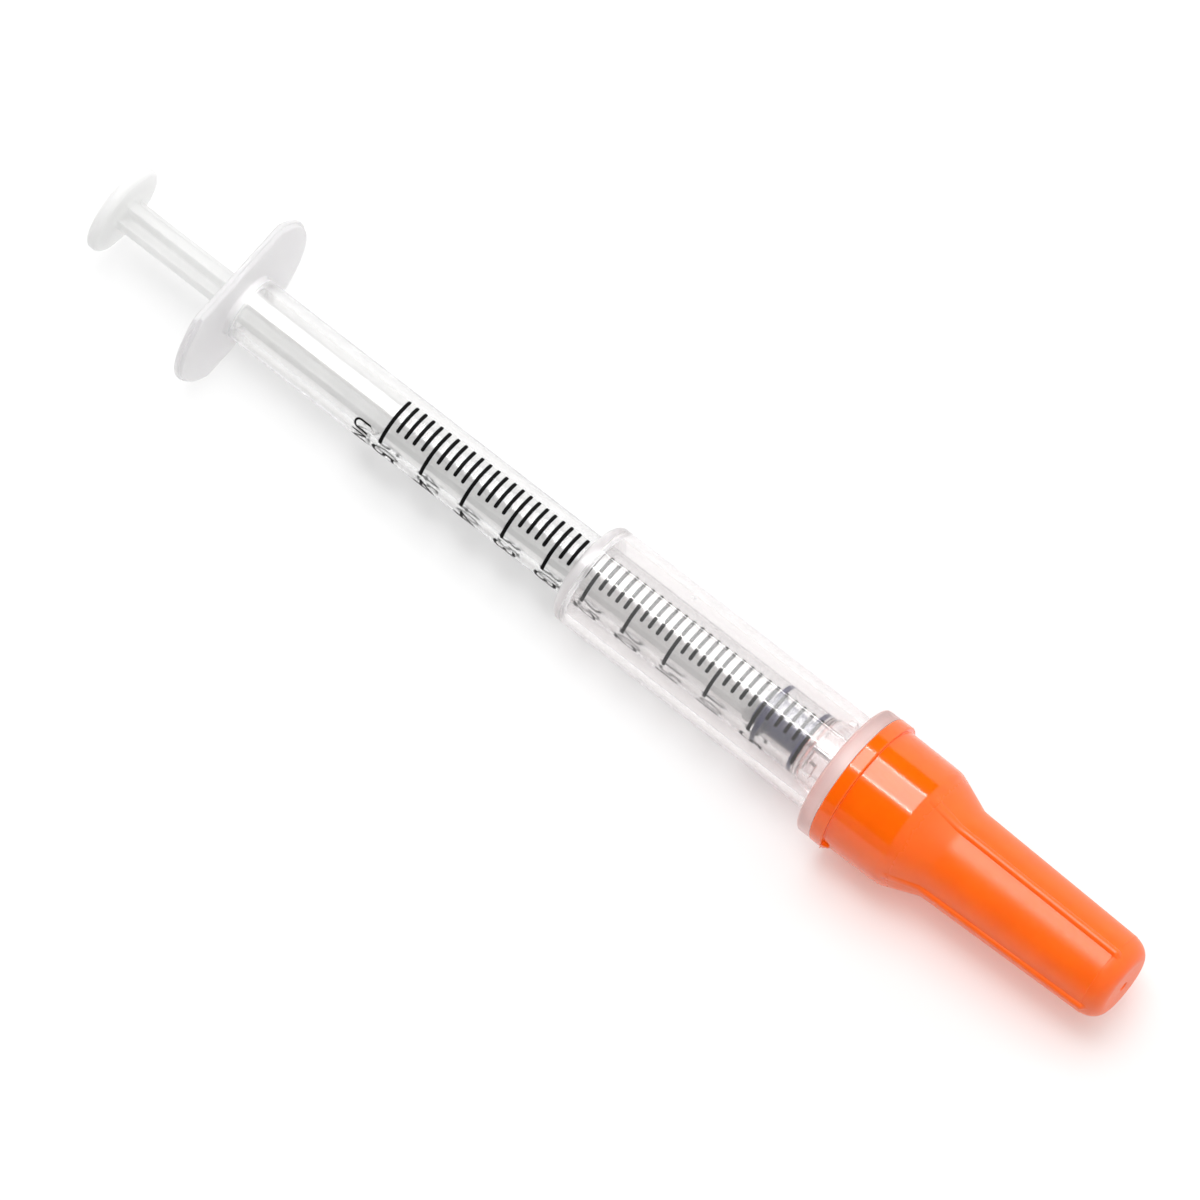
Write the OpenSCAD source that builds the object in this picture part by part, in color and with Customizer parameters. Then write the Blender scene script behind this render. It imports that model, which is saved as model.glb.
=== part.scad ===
// Half-millilitre safety syringe lying on its finger flange.
// A fixed needle, a clear sliding guard sleeve and a push-on needle cap.
// All lengths are in millimetres. +X points to the needle end and +Z is up.
// Stations along the axis are counted from the zero line of the printed scale,
// negative toward the thumb disc.

/* [Barrel] */
// outside diameter of the barrel tube
barrel_od = 5.56; // [5.2:0.04:6]
// bore diameter that the stopper runs in
bore_d = 3.92; // [3.6:0.02:4.2]
// length of the printed fifty-unit scale
scale_len = 41.5; // [36:0.5:46]
// plain barrel length between the finger flange and the scale
scale_margin = 16.8; // [12:0.2:20]
// barrel tube length in front of the zero line
front_wall = 1.2; // [1.1:0.05:1.5]

/* [Finger flange] */
// diameter across the two rounded ends
flange_d = 15.7; // [14:0.1:18]
// width across the two parallel flats
flange_flats = 11.8; // [11.8:0.1:12.6]
// total thickness
flange_t = 0.8; // [0.8:0.05:1.2]
// how much the front half of the rim is set in at the moulding line
rim_step = 0.2; // [0.1:0.05:0.4]

/* [Needle and nose] */
// station of the nose tip in front of the zero line
nose_len = 8; // [7:0.1:9]
// nose diameter at its tip
nose_tip_d = 2.7; // [2.4:0.1:3]
// nose diameter behind the collar seat
nose_base_d = 3.96; // [3.8:0.02:4.1]
// cannula outside diameter
needle_od = 0.33; // [0.3:0.01:0.36]
// cannula bore
needle_id = 0.18; // [0.13:0.01:0.2]
// free needle length in front of the nose
needle_free = 12.7; // [8:0.1:12.7]

/* [Plunger] */
// gap between the thumb disc and the finger flange with the plunger home
rod_out = 11.45; // [8:0.05:16]
// thumb disc diameter
thumb_d = 7.9; // [7:0.1:9]
// thumb disc thickness
thumb_t = 1.05; // [0.85:0.05:1.4]
// width of the cross-shaped rod over its fins
rod_w = 3.0; // [2.6:0.02:3.2]
// thickness of one fin
fin_t = 1.0; // [0.6:0.02:1.1]
// angle of the first fin above the horizontal
fin_angle = 72; // [0:1:89]
// rubber stopper length
stopper_len = 4.95; // [4.6:0.05:5.4]
// station of the stopper's front face with the plunger home
plunger_home = 0.55; // [0.3:0.05:0.55]
// radial clearance between a stopper rib and the bore
stopper_gap = 0.03; // [0.02:0.01:0.06]

/* [Guard sleeve] */
// outside diameter of the sleeve tube
sleeve_od = 8.9; // [8.7:0.02:9]
// bore of the sleeve over the collar lugs
sleeve_bore = 7.4; // [7.38:0.02:7.6]
// station of the sleeve's rear end behind the zero line
sleeve_back = 22.7; // [21:0.05:24]
// length of the turned-in lip at the rear end
lip_len = 0.9; // [0.7:0.05:1.1]
// station of the front flange's rear face
guard_face = 3.6; // [3.5:0.05:3.8]
// front flange thickness
guard_t = 1.36; // [1.2:0.02:1.5]
// front flange diameter
guard_d = 11.7; // [11:0.1:11.8]
// length of the spigot that the cap pushes on to
spigot_len = 3.3; // [2.5:0.1:4]

/* [Collar] */
// collar diameter at its rear edge
collar_d = 5.9; // [5.8:0.02:6.2]
// collar diameter at its front edge
collar_front_d = 6.5; // [6.3:0.02:6.6]
// diameter over the three snap lugs
lug_d = 7.2; // [7:0.02:7.22]
// angle of the first snap lug above the horizontal
lug_angle = 15; // [0:1:119]

/* [Needle cap] */
// diameter of the ring at the open end
ring_d = 11.8; // [11.6:0.1:11.8]
// thickness of that ring
ring_t = 1.2; // [1:0.05:1.4]
// wide part diameter next to the ring
wide_d = 11.08; // [10.9:0.02:11.3]
// wide part length including the ring
wide_len = 6.2; // [6:0.1:6.5]
// shoulder length between the wide and the narrow part
shoulder_len = 3.5; // [3.2:0.1:4]
// narrow part diameter next to the shoulder
narrow_d = 8.3; // [8.1:0.02:8.5]
// narrow part diameter at the closed end
narrow_end_d = 7.42; // [7.3:0.02:7.6]
// whole cap length
cap_len = 26.8; // [25.5:0.1:28]
// height of the four grip ribs above the surface
rib_h = 0.26; // [0.15:0.01:0.35]
// angle of the first grip rib above the horizontal
rib_angle = 78.6; // [0:0.1:90]

/* [Hidden] */

fine_fn = 96;
mid_fn = 48;
small_fn = 24;
cut = 0.05;
seat_gap = 0.02;
slide_gap = 0.08;

// stations along the axis
flange_back = -scale_len - scale_margin;
rod_back = flange_back - rod_out - thumb_t;
cap_back = guard_face + guard_t + seat_gap;
cap_front = cap_back + cap_len;
axis_h = max(flange_flats, ring_d, guard_d) / 2;
x_zero = -(cap_front + rod_back) / 2;
barrel_front = front_wall;
collar_back = barrel_front + seat_gap;
collar_len = 2;
collar_front = collar_back + collar_len;
needle_tip = nose_len + needle_free;

// sizes that follow from the ones above
bore_end = plunger_home + 0.05;
bore_lead = 0.35;
rim_round = 0.22;
nose_step = 0.28;
nose_edge = 0.1;
lead_hole_d = needle_od + 2 * seat_gap;
pocket_d = 1.24;
pocket_len = 2.2;
bond_dome = 0.14;
needle_start = bore_end + 0.1;
bevel_angle = 14;
bevel_len = 3;
neck_d = 1.4;
neck_len = 1.05;
barb_d = 2.2;
barb_len = 1.6;
thrust_d = 3.4;
thrust_t = 0.7;
rib_len = 0.62;
rib_inset = 0.6;
rib_sweep = 60;
waist_d = 3.1;
thumb_round = 0.4;
root_d = 4.2;
root_t = 0.3;
root_ease = 0.8;
lip_bore = barrel_od + 2 * slide_gap;
sleeve_round = 0.95;
sleeve_end_slope = 0.25;
sleeve_sweep = 75;
lip_cone = 0.5;
spigot_lead = 0.22;
guard_round = 0.3;
spigot_d = sleeve_od - 2 * seat_gap;
spigot_bore = 6.6;
lug_back = 0.65;
lug_len = 0.62;
lug_w = 1.3;
lug_lead = 0.3;
socket_fit = 0.06;
socket_d = spigot_d + 2 * socket_fit;
socket_len = 5.3;
taper_start = 9;
cap_hole_d = 6.3;
cap_hole_end_d = 5.9;
cap_end_t = 1.35;
cap_round_x = 1.75;
cap_round_r = 1.35;
wide_draft = 0.14;
ring_round = 0.15;
shoulder_ease = 0.9;
shoulder_bend = 58;
foot_ease = 0.4;
socket_lead = 0.2;
hole_ease = 0.45;
gate_d = 0.8;
gate_depth = 0.12;
grip_r = 0.4;
grip_start = 9;
grip_end = 25.3;
grip_slope = atan((narrow_d - narrow_end_d) / 2 / (cap_len - cap_round_x - wide_len - shoulder_len));

// points of a quarter-round corner, centred on [r, z], from angle a0 to a1
function arc(r, z, ar, az, a0, a1, steps) =
    [for (i = [0 : steps], a = a0 + (a1 - a0) * i / steps) [r + ar * cos(a), z + az * sin(a)]];

// puts local +Z along the syringe axis with its origin at the zero line
module on_axis() {
    translate([x_zero, 0, axis_h])
        rotate([0, 90, 0])
            children();
}

// turns local +X to an angle above the horizontal, seen from the thumb end
module at_angle(a) {
    rotate([0, 0, 90 + a])
        children();
}

module flange_plate(d, flats, t) {
    intersection() {
        cylinder(h = t, d = d, $fn = fine_fn);
        translate([-flats / 2, -d / 2, 0])
            cube([flats, d, t]);
    }
}

module barrel() {
    color([0.93, 0.94, 0.95, 0.55])
        on_axis()
            difference() {
                union() {
                    translate([0, 0, flange_back])
                        flange_plate(flange_d, flange_flats, flange_t / 2);
                    translate([0, 0, flange_back + flange_t / 2])
                        flange_plate(flange_d - 2 * rim_step, flange_flats, flange_t / 2);
                    rotate_extrude($fn = fine_fn)
                        polygon(concat(
                            [[0, flange_back + cut]],
                            [[barrel_od / 2, flange_back + cut]],
                            arc(barrel_od / 2 - rim_round, barrel_front - rim_round, rim_round, rim_round,
                                0, 90, 4),
                            [[nose_base_d / 2, barrel_front]],
                            [[nose_base_d / 2, collar_front]],
                            [[nose_base_d / 2 - nose_step, collar_front + nose_step]],
                            [[nose_tip_d / 2, nose_len - nose_edge]],
                            [[nose_tip_d / 2 - nose_edge, nose_len]],
                            [[0, nose_len]]
                        ));
                }
                rotate_extrude($fn = fine_fn)
                    polygon([
                        [0, flange_back - cut],
                        [bore_d / 2 + bore_lead, flange_back - cut],
                        [bore_d / 2, flange_back + bore_lead],
                        [bore_d / 2, bore_end],
                        [0, bore_end]
                    ]);
                cylinder(h = nose_len, d = lead_hole_d, $fn = small_fn);
                translate([0, 0, nose_len - pocket_len])
                    cylinder(h = pocket_len + cut, d = pocket_d, $fn = mid_fn);
            }
}

module collar() {
    color([0.86, 0.9, 0.92, 0.4])
        on_axis()
            difference() {
                union() {
                    translate([0, 0, collar_back])
                        cylinder(h = collar_len, d1 = collar_d, d2 = collar_front_d, $fn = fine_fn);
                    for (i = [0 : 2])
                        at_angle(lug_angle + 120 * i)
                            intersection() {
                                translate([0, 0, collar_back + lug_back])
                                    cylinder(h = lug_len, d1 = lug_d - lug_lead, d2 = lug_d, $fn = fine_fn);
                                translate([0, -lug_w / 2, collar_back + lug_back])
                                    cube([lug_d / 2, lug_w, lug_len]);
                            }
                }
                translate([0, 0, collar_back - cut])
                    cylinder(h = collar_len + 2 * cut, d = nose_base_d + 2 * seat_gap, $fn = fine_fn);
            }
}

module needle() {
    color([0.75, 0.76, 0.78])
        on_axis()
            difference() {
                translate([0, 0, needle_start])
                    cylinder(h = needle_tip - needle_start, d = needle_od, $fn = small_fn);
                translate([0, 0, needle_start - cut])
                    cylinder(h = needle_tip - needle_start + 2 * cut, d = needle_id, $fn = small_fn);
                translate([-needle_od / 2, -needle_od, needle_tip])
                    rotate([0, 90 - bevel_angle, 0])
                        translate([-needle_od, 0, 0])
                            cube([needle_od, 2 * needle_od, bevel_len]);
            }
}

module needle_bond() {
    color([0.85, 0.85, 0.78, 0.6])
        on_axis()
            difference() {
                rotate_extrude($fn = mid_fn)
                    polygon(concat(
                        [[0, nose_len - pocket_len + seat_gap]],
                        [[pocket_d / 2 - seat_gap, nose_len - pocket_len + seat_gap]],
                        arc(0, nose_len, pocket_d / 2 - seat_gap, bond_dome, 0, 90, 5)
                    ));
                translate([0, 0, nose_len - pocket_len])
                    cylinder(h = pocket_len + 2 * bond_dome, d = needle_od + seat_gap, $fn = small_fn);
            }
}

module rod_cross(len) {
    intersection() {
        cylinder(h = len, d = rod_w, $fn = mid_fn);
        union() {
            translate([-rod_w / 2, -fin_t / 2, 0])
                cube([rod_w, fin_t, len]);
            translate([-fin_t / 2, -rod_w / 2, 0])
                cube([fin_t, rod_w, len]);
        }
    }
}

module plunger_rod() {
    rod_front = plunger_home - stopper_len - seat_gap;
    color([0.94, 0.94, 0.95])
        on_axis()
            union() {
                translate([0, 0, rod_back])
                    rotate_extrude($fn = fine_fn)
                        polygon(concat(
                            [[0, 0]],
                            arc(thumb_d / 2 - thumb_round, thumb_round, thumb_round, thumb_round, -90, 0, 4),
                            arc(thumb_d / 2 - thumb_round, thumb_t - thumb_round, thumb_round, thumb_round,
                                0, 90, 4),
                            [[root_d / 2, thumb_t]],
                            [[root_d / 2 - root_ease, thumb_t + root_t]],
                            [[0, thumb_t + root_t]]
                        ));
                translate([0, 0, rod_back + thumb_t])
                    at_angle(fin_angle)
                        rod_cross(rod_front - thrust_t - rod_back - thumb_t + cut);
                translate([0, 0, rod_front - thrust_t])
                    cylinder(h = thrust_t, d = thrust_d, $fn = mid_fn);
                translate([0, 0, rod_front - cut])
                    cylinder(h = neck_len + cut, d = neck_d, $fn = mid_fn);
                translate([0, 0, rod_front + neck_len - cut])
                    cylinder(h = barb_len + cut, d1 = barb_d, d2 = neck_d, $fn = mid_fn);
            }
}

module stopper() {
    rib_r = bore_d / 2 - stopper_gap;
    color([0.13, 0.14, 0.17])
        on_axis()
            translate([0, 0, plunger_home - stopper_len])
                difference() {
                    rotate_extrude($fn = fine_fn)
                        polygon(concat(
                            [[0, 0]],
                            [[waist_d / 2, 0]],
                            [[waist_d / 2, rib_inset]],
                            arc(waist_d / 2, rib_inset + rib_len / 2, rib_r - waist_d / 2, rib_len / 2,
                                -rib_sweep, rib_sweep, 6),
                            [[waist_d / 2, rib_inset + rib_len]],
                            [[waist_d / 2, stopper_len - rib_len]],
                            arc(waist_d / 2, stopper_len - rib_len / 2, rib_r - waist_d / 2, rib_len / 2,
                                -rib_sweep, rib_sweep, 6),
                            [[waist_d / 2 - seat_gap, stopper_len]],
                            [[0, stopper_len]]
                        ));
                    translate([0, 0, -cut])
                        cylinder(h = neck_len + cut, d = neck_d + 2 * seat_gap, $fn = mid_fn);
                    translate([0, 0, neck_len - cut - 2 * seat_gap])
                        cylinder(h = barb_len + cut + 3 * seat_gap, d1 = barb_d + 2 * seat_gap,
                                 d2 = neck_d + 2 * seat_gap, $fn = mid_fn);
                }
}

module guard_sleeve() {
    r_out = sleeve_od / 2;
    lip_front = -sleeve_back + lip_len;
    color([0.85, 0.9, 0.94, 0.3])
        on_axis()
            rotate_extrude($fn = fine_fn)
                polygon(concat(
                    [[lip_bore / 2, -sleeve_back]],
                    [[r_out - sleeve_round, -sleeve_back + sleeve_end_slope]],
                    arc(r_out - sleeve_round, -sleeve_back + sleeve_end_slope + sleeve_round, sleeve_round,
                        sleeve_round, -sleeve_sweep, 0, 6),
                    [[r_out, guard_face - guard_round]],
                    [[r_out + guard_round, guard_face]],
                    arc(guard_d / 2 - guard_round, guard_face + guard_round, guard_round, guard_round,
                        -90, 0, 4),
                    [[guard_d / 2, guard_face + guard_t]],
                    [[spigot_d / 2, guard_face + guard_t]],
                    [[spigot_d / 2, guard_face + guard_t + spigot_len - spigot_lead]],
                    [[spigot_d / 2 - spigot_lead, guard_face + guard_t + spigot_len]],
                    [[spigot_bore / 2, guard_face + guard_t + spigot_len]],
                    [[spigot_bore / 2, guard_face]],
                    [[sleeve_bore / 2, guard_face]],
                    [[sleeve_bore / 2, lip_front + lip_cone]],
                    [[sleeve_bore / 2 - lip_cone, lip_front]],
                    [[lip_bore / 2, lip_front]]
                ));
}

module cap_body() {
    shoulder_z = wide_len + shoulder_len;
    round_z = cap_len - cap_round_x;
    wide_end_r = (wide_d - wide_draft) / 2;
    difference() {
        rotate_extrude($fn = fine_fn)
            polygon(concat(
                [[0, 0]],
                [[ring_d / 2, 0]],
                arc(ring_d / 2 - ring_round, ring_t - ring_round, ring_round, ring_round, 0, 90, 3),
                [[wide_d / 2, ring_t]],
                arc(wide_end_r - shoulder_ease, wide_len - shoulder_ease, shoulder_ease, 2 * shoulder_ease,
                    0, shoulder_bend, 4),
                [[narrow_d / 2 + foot_ease, shoulder_z - 2 * foot_ease]],
                [[narrow_d / 2 + foot_ease / 5, shoulder_z - foot_ease / 2]],
                [[narrow_d / 2, shoulder_z + foot_ease / 2]],
                arc(narrow_end_d / 2 - cap_round_r, round_z, cap_round_r, cap_round_x, 0, 90, 9),
                [[0, cap_len]]
            ));
        rotate_extrude($fn = fine_fn)
            polygon([
                [0, -cut],
                [socket_d / 2 + socket_lead, -cut],
                [socket_d / 2, socket_lead],
                [socket_d / 2, socket_len],
                [cap_hole_d / 2, taper_start],
                [cap_hole_end_d / 2, cap_len - cap_end_t - hole_ease],
                [cap_hole_end_d / 2 - hole_ease, cap_len - cap_end_t],
                [0, cap_len - cap_end_t]
            ]);
        translate([0, 0, cap_len - gate_depth])
            cylinder(h = 2 * gate_depth, d = gate_d, $fn = small_fn);
    }
}

// one straight grip rib with round ends, laid along the drafted side
module grip_rib() {
    rib_run = grip_end - grip_start;
    lift = narrow_d / 2 + rib_h - grip_r + (wide_len + shoulder_len - grip_start) * tan(grip_slope);
    translate([lift, 0, grip_start])
        rotate([0, -grip_slope, 0]) {
            cylinder(h = rib_run, r = grip_r, $fn = small_fn);
            sphere(r = grip_r, $fn = small_fn);
            translate([0, 0, rib_run])
                sphere(r = grip_r, $fn = small_fn);
        }
}

module needle_cap() {
    color([1, 0.42, 0.06])
        on_axis()
            translate([0, 0, cap_back])
                union() {
                    cap_body();
                    for (i = [0 : 3])
                        at_angle(rib_angle + 90 * i)
                            grip_rib();
                }
}

barrel();
collar();
needle();
needle_bond();
plunger_rod();
stopper();
guard_sleeve();
needle_cap();
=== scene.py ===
"""Looks of the half-millilitre safety syringe: fine meshes, printed scale, materials, light and camera.

Sizes of the syringe are in millimetres. A station is a place along its axis, counted from the zero
line of the scale and positive toward the needle. Angles round the axis go from +Y toward +Z, in
degrees unless a comment says radians. Light, floor and camera are in metres.
"""
import math
import random

import bmesh
import bpy
import numpy as np
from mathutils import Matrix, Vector


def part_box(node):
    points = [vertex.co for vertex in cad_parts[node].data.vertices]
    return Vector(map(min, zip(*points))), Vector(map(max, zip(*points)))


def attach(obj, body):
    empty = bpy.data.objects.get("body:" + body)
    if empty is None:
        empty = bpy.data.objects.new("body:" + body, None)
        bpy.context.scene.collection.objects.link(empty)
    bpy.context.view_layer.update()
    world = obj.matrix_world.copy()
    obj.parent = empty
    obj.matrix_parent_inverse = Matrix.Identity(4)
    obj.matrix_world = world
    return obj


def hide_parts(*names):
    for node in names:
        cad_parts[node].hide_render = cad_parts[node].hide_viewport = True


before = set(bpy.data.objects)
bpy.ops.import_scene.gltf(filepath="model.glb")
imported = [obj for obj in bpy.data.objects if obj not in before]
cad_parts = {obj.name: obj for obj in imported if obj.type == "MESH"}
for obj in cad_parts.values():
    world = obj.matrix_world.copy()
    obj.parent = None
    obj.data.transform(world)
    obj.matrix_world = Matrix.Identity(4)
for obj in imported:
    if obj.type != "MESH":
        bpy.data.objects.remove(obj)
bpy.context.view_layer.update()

MM = 0.001
random.seed(50)

# ---------------------------------------------------------------- where things are
PLUNGER_HOME = 0.55
ZERO_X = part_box("stopper")[1].x - PLUNGER_HOME * MM
AXIS_Z = (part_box("needle_cap")[0].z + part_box("needle_cap")[1].z) / 2


def station(node, end):
    """The station in mm of a CAD node's low (0) or high (1) end."""
    return (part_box(node)[end].x - ZERO_X) / MM


# barrel
FLANGE_BACK = station("barrel", 0)
NOSE_TIP = station("barrel", 1)
FLANGE_T = 0.8
FLANGE_R = 7.85
FLANGE_FLAT = AXIS_Z / MM
RIM_STEP = 0.2
BARREL_R = 2.78
BORE_R = 1.96
BARREL_FRONT = 1.2
BORE_END = PLUNGER_HOME + 0.05
NOSE_R = 1.98
NOSE_TIP_R = 1.35
NOSE_CHAMFER = 0.28
POCKET_R = 0.62
POCKET_LEN = 2.2
LEAD_R = 0.185
MOUTH_CHAMFER = 0.35
# collar
COLLAR_BACK = station("collar", 0)
COLLAR_LEN = 2.0
COLLAR_R, COLLAR_FRONT_R, LUG_R = 2.95, 3.25, 3.6
LUG_ANGLES = [15 + 120 * k for k in range(3)]
LUG_START, LUG_LEN, LUG_WIDE, LUG_SLOPE = 0.65, 0.62, 1.3, 0.15
# plunger
ROD_BACK = station("plunger_rod", 0)
THUMB_R, THUMB_T = 3.95, 1.05
ROD_R, FIN_T, FIN_ANGLE = 1.5, 1.0, 72
CORE_R = 0.45                    # radius of the rod's rows, over which the fins rise
ROOT_R = 2.05                    # where the round between disc and fins starts
THRUST_R, THRUST_T = 1.7, 0.7
BARB_STEM_R, BARB_R, BARB_FROM, BARB_TO = 0.7, 1.1, 1.05, 2.65
STOPPER_BACK = station("stopper", 0)
ROD_FRONT = STOPPER_BACK - 0.02
STOPPER_RIB_R = BORE_R + 0.006   # the rubber wets the bore, so it touches it optically
WAIST_R = 1.55
HOLE_R, HOLE_LEN = 0.72, 1.05
BACK_RIB = (0.6, 1.22)           # from and to, counted from the stopper's back
FRONT_RIB = (-0.64, -0.04)       # from and to, counted from its front
# sleeve
SLEEVE_BACK, SLEEVE_TIP = station("guard_sleeve", 0), station("guard_sleeve", 1)
SLEEVE_R, SLEEVE_BORE_R, LIP_BORE_R = 4.45, 3.7, 2.86
LIP_LEN = 0.9
GUARD_FACE, GUARD_T, GUARD_R = 3.6, 1.36, 5.85
SPIGOT_R, SPIGOT_BORE_R = 4.43, 3.3
SPIGOT_CHAMFER = 0.22
GATE_ANGLE, GATE_X, GATE_R, GATE_HIGH = 55, -13.6, 0.22, 0.07
# cap
CAP_BACK, CAP_FRONT = station("needle_cap", 0), station("needle_cap", 1)
CAP_LEN = CAP_FRONT - CAP_BACK
RING_R, RING_T = 5.9, 1.2
WIDE_R, WIDE_END_R, WIDE_LEN = 5.54, 5.47, 6.2
SHOULDER_LEN = 3.5
NARROW_R, NARROW_END_R = 4.15, 3.71
CAP_ROUND_X, CAP_ROUND_R = 1.75, 1.35
CAP_BORE_R, CAP_MOUTH = 4.49, 0.2
HOLLOW_R, HOLLOW_END_R, CAP_WALL = 3.15, 2.95, 1.35
HOLLOW_SHOULDER, HOLLOW_NARROW = 5.3, 9.0
RIB_R, RIB_PROUD = 0.4, 0.26
RIB_START, RIB_END = 9.35, 25.3
RIB_ANGLES = [78.6 + 90 * k for k in range(4)]
LINE_Z, LINE_STEP = 25.25, 0.035
NUB_ANGLE, NUB_HALF, NUB_LEN, NUB_HIGH = 187, 2.8, 0.6, 0.3
# printed scale
UNITS = 50
UNIT, LAST_UNIT, LAST_UNITS, ZERO_MARK = 0.83, 0.88, 10, 0.5
MARK_W = 0.32
MARK_FROM, MARK_TO, LONG_TO = 61.8, 118.6, 156.4
DIGIT_FROM, DIGIT_TALL, DIGIT_WIDE = 166.0, 2.26, 1.2
DIGIT_SHIFT = -0.62
WORD_FROM, WORD_TALL, WORD_WIDE, WORD_X = 137.0, 1.45, 1.07, -44.2


# ---------------------------------------------------------------- mesh helpers
def place(s, angle, r):
    """The point at a station, an angle round the axis in radians and a radius, in metres."""
    return (ZERO_X + s * MM, r * math.cos(angle) * MM, AXIS_Z + r * math.sin(angle) * MM)


def rounded(points, closed=True, steps=4):
    """An outline of (station, radius, fillet) with its corners rounded, as (station, radius) pairs.

    A fillet takes up to 45 % of each side, and a point just before and after it keeps the sides flat.
    """
    out = []
    count = len(points)
    for i, (x, r, fillet) in enumerate(points):
        if not fillet or (not closed and i in (0, count - 1)):
            out.append((x, r))
            continue
        p = np.array((x, r))
        u = np.array(points[i - 1][:2]) - p
        v = np.array(points[(i + 1) % count][:2]) - p
        len_u, len_v = np.linalg.norm(u), np.linalg.norm(v)
        u, v = u / len_u, v / len_v
        half = math.acos(max(-1.0, min(1.0, float(u @ v)))) / 2
        back = min(fillet / math.tan(half), 0.45 * len_u, 0.45 * len_v)
        centre = p + (u + v) / np.linalg.norm(u + v) * back / math.cos(half)
        first, last = p + u * back, p + v * back
        lead = min(0.25 * back, 0.03)
        out.append(tuple(first + u * lead))
        a0 = math.atan2(*(first - centre)[::-1])
        turn = math.atan2(*(last - centre)[::-1]) - a0
        turn = (turn + math.pi) % (2 * math.pi) - math.pi
        size = np.linalg.norm(first - centre)
        for k in range(steps + 1):
            a = a0 + turn * k / steps
            out.append((centre[0] + size * math.cos(a), centre[1] + size * math.sin(a)))
        out.append(tuple(last + v * lead))
    return out


def angles(count, *extra):
    """Angles round the axis in radians: an even spread, and dense (centre, reach, number) groups.

    An angle within 0.12 degrees of the one before is left out.
    """
    found = set(np.round(np.linspace(0, 360, count, endpoint=False), 4))
    for centre, reach, number in extra:
        found.update(np.round((centre + np.linspace(-reach, reach, number)) % 360, 4))
    kept = []
    for a in sorted(found):
        if not kept or a - kept[-1] > 0.12:
            kept.append(a)
    return [math.radians(a) for a in kept]


def piece(name, body, slot=None, node=None, verts=(), faces=(), sharp=35):
    """A mesh object that rides a body, stands for a node and has outward normals."""
    mesh = bpy.data.meshes.new(name)
    mesh.from_pydata([tuple(v) for v in verts], [], faces)
    bm = bmesh.new()
    bm.from_mesh(mesh)
    bmesh.ops.recalc_face_normals(bm, faces=bm.faces)
    bm.to_mesh(mesh)
    bm.free()
    mesh.shade_smooth()
    mesh.set_sharp_from_angle(angle=math.radians(sharp))
    obj = bpy.data.objects.new(name, mesh)
    bpy.context.scene.collection.objects.link(obj)
    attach(obj, body)
    if node:
        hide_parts(node)
    return obj


def spin(outline, around, closed=True, shape=None):
    """Vertices and faces of an outline spun round the axis.

    shape(row, station, angle, radius) may change a radius.
    """
    verts, faces, rows = [], [], []
    for i, (s, r) in enumerate(outline):
        if r < 1e-6:
            rows.append([len(verts)] * len(around))
            verts.append(place(s, 0, 0))
            continue
        rows.append(list(range(len(verts), len(verts) + len(around))))
        for a in around:
            verts.append(place(s, a, shape(i, s, a, r) if shape else r))
    last = len(rows) if closed else len(rows) - 1
    for i in range(last):
        low, high = rows[i], rows[(i + 1) % len(rows)]
        for j in range(len(around)):
            k = (j + 1) % len(around)
            quad = [low[j], low[k], high[k], high[j]]
            quad = [v for n, v in enumerate(quad) if v not in quad[:n]]
            if len(quad) > 2:
                faces.append(quad)
    return verts, faces


# ---------------------------------------------------------------- barrel
flange_mid = FLANGE_BACK + FLANGE_T / 2
flange_front = FLANGE_BACK + FLANGE_T
barrel_outline = rounded([
    (FLANGE_BACK, BORE_R + MOUTH_CHAMFER, 0.1),
    (FLANGE_BACK, FLANGE_R, 0.13),
    (flange_mid, FLANGE_R, 0.07),
    (flange_mid, FLANGE_R - RIM_STEP, 0.04),
    (flange_front, FLANGE_R - RIM_STEP, 0.16),
    (flange_front, BARREL_R, 0.14),
    (BARREL_FRONT, BARREL_R, 0.22),
    (BARREL_FRONT, NOSE_R, 0.05),
    (COLLAR_BACK + COLLAR_LEN, NOSE_R, 0.04),
    (COLLAR_BACK + COLLAR_LEN + NOSE_CHAMFER, NOSE_R - NOSE_CHAMFER, 0.05),
    (NOSE_TIP - 0.1, NOSE_TIP_R, 0.05),
    (NOSE_TIP, NOSE_TIP_R - 0.1, 0.04),
    (NOSE_TIP, POCKET_R, 0.04),
    (NOSE_TIP - POCKET_LEN, POCKET_R, 0.05),
    (NOSE_TIP - POCKET_LEN, LEAD_R, 0),
    (BORE_END, LEAD_R, 0.02),
    (BORE_END, BORE_R, 0.15),
    (FLANGE_BACK + MOUTH_CHAMFER, BORE_R, 0.15),
], steps=5)


def flange_shape(row, s, angle, r):
    """Cuts the two flats of the finger flange, with the same rounds as its rim."""
    if s > flange_front or r < FLANGE_R - 0.6:
        return r
    layer = FLANGE_R if s < flange_mid + 0.01 else FLANGE_R - RIM_STEP
    flat = FLANGE_FLAT - 0.9 * max(0.0, layer - r)
    return min(r, flat / max(abs(math.sin(angle)), 1e-6))


corner = math.degrees(math.asin(FLANGE_FLAT / FLANGE_R))
corners = [(c, 2.4, 7) for c in (corner, 180 - corner, 180 + corner, 360 - corner)]
barrel = piece("barrel_body", "barrel", "barrel_plastic", "barrel",
               *spin(barrel_outline, angles(180, *corners), shape=flange_shape))


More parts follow.
